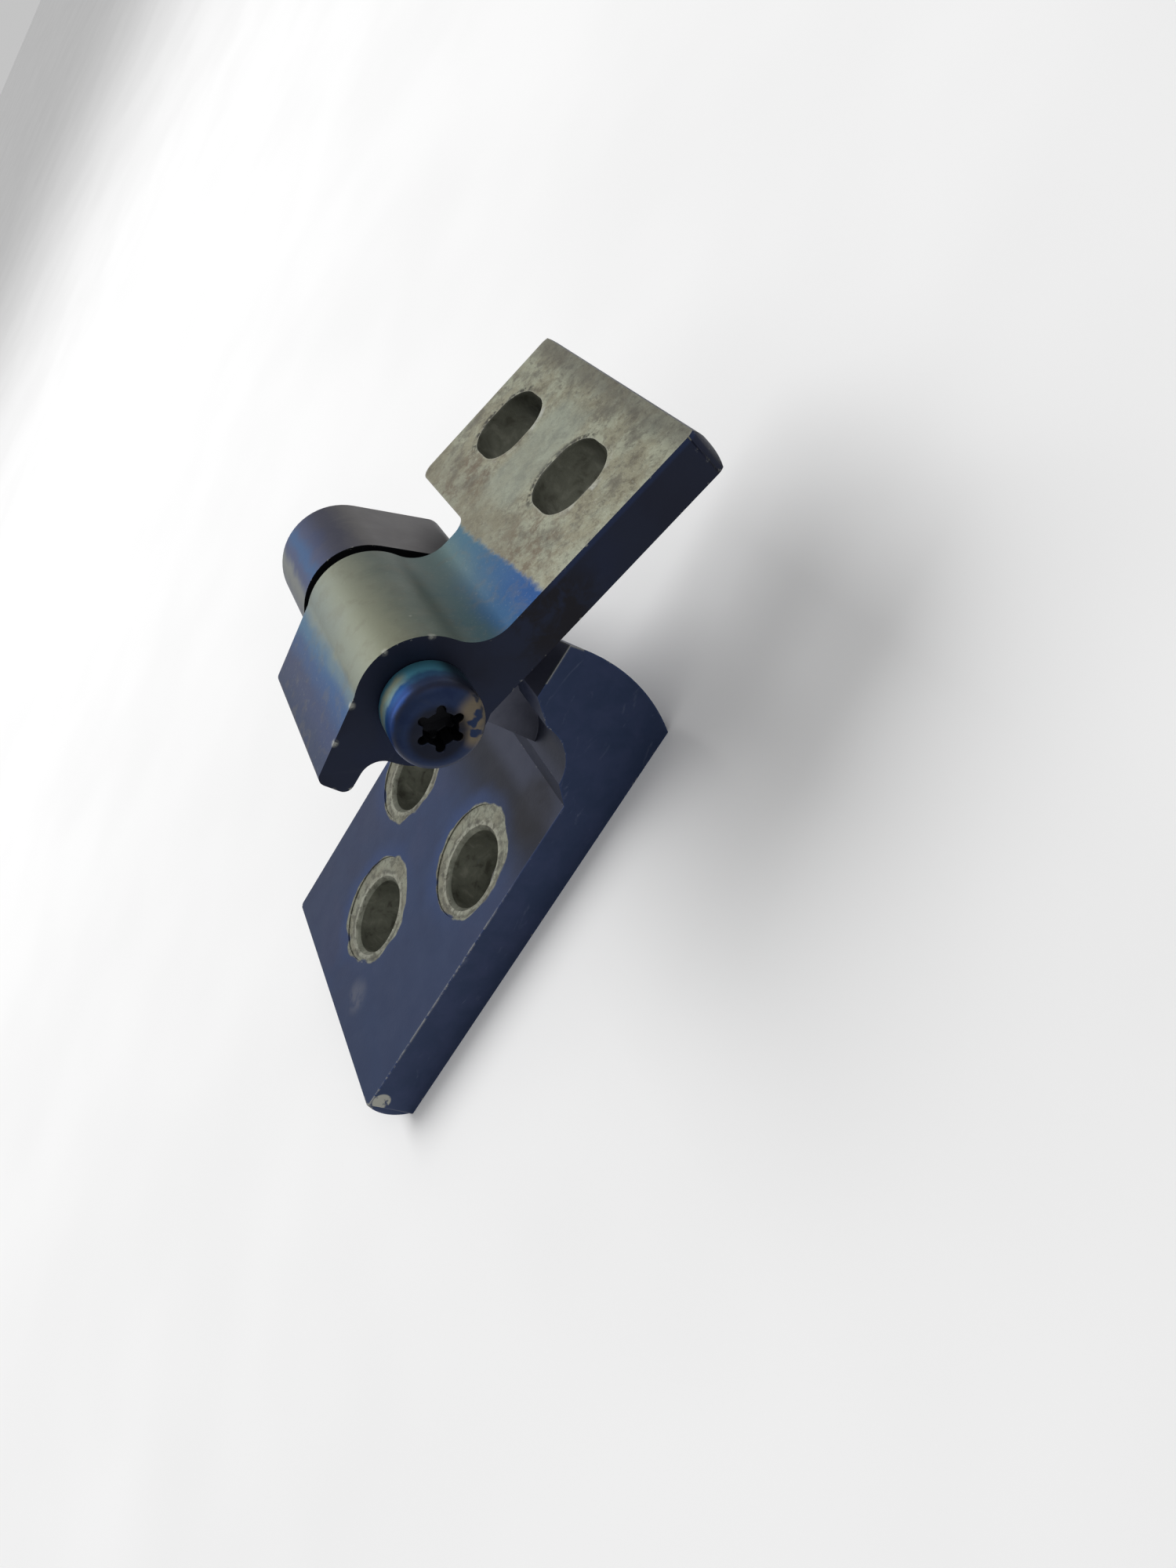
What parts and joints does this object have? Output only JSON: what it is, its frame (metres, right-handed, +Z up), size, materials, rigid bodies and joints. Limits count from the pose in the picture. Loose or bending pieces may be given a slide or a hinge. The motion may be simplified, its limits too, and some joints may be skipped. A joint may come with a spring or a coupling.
{
  "type": "pan tilt camera mount",
  "caption": "Tilt hinge mount: a slotted camera plate on a knuckle arm, held to the ear of a drilled base bracket by one socket-head pivot screw.",
  "frame": {"origin": "centre of the flat underside of the base bracket", "axes": "+Z up out of the base's drilled face, +Y along the base towards the hinge, +X along the hinge towards the screw head"},
  "size_m": [0.0612, 0.0873, 0.0409],
  "materials": {
    "base_steel": "heat-blued, worn",
    "arm_steel": "heat-tinted, plate face bare",
    "screw_steel": "heat-blued, worn",
    "bush_bronze": "plain",
    "washer_steel": "dark"
  },
  "bodies": {
    "base": {"base_bracket": "base_steel", "pivot_screw": "screw_steel"},
    "arm": {"tilt_arm": "arm_steel", "pivot_bush": "bush_bronze", "thrust_washer": "washer_steel"}
  },
  "joints": [
    {"name": "tilt", "type": "hinge", "parent": "base", "child": "arm", "pos_m": [0, 0.0254, 0.0345], "axis": [1, 0, 0], "range_deg": [-24, 190]}
  ]
}
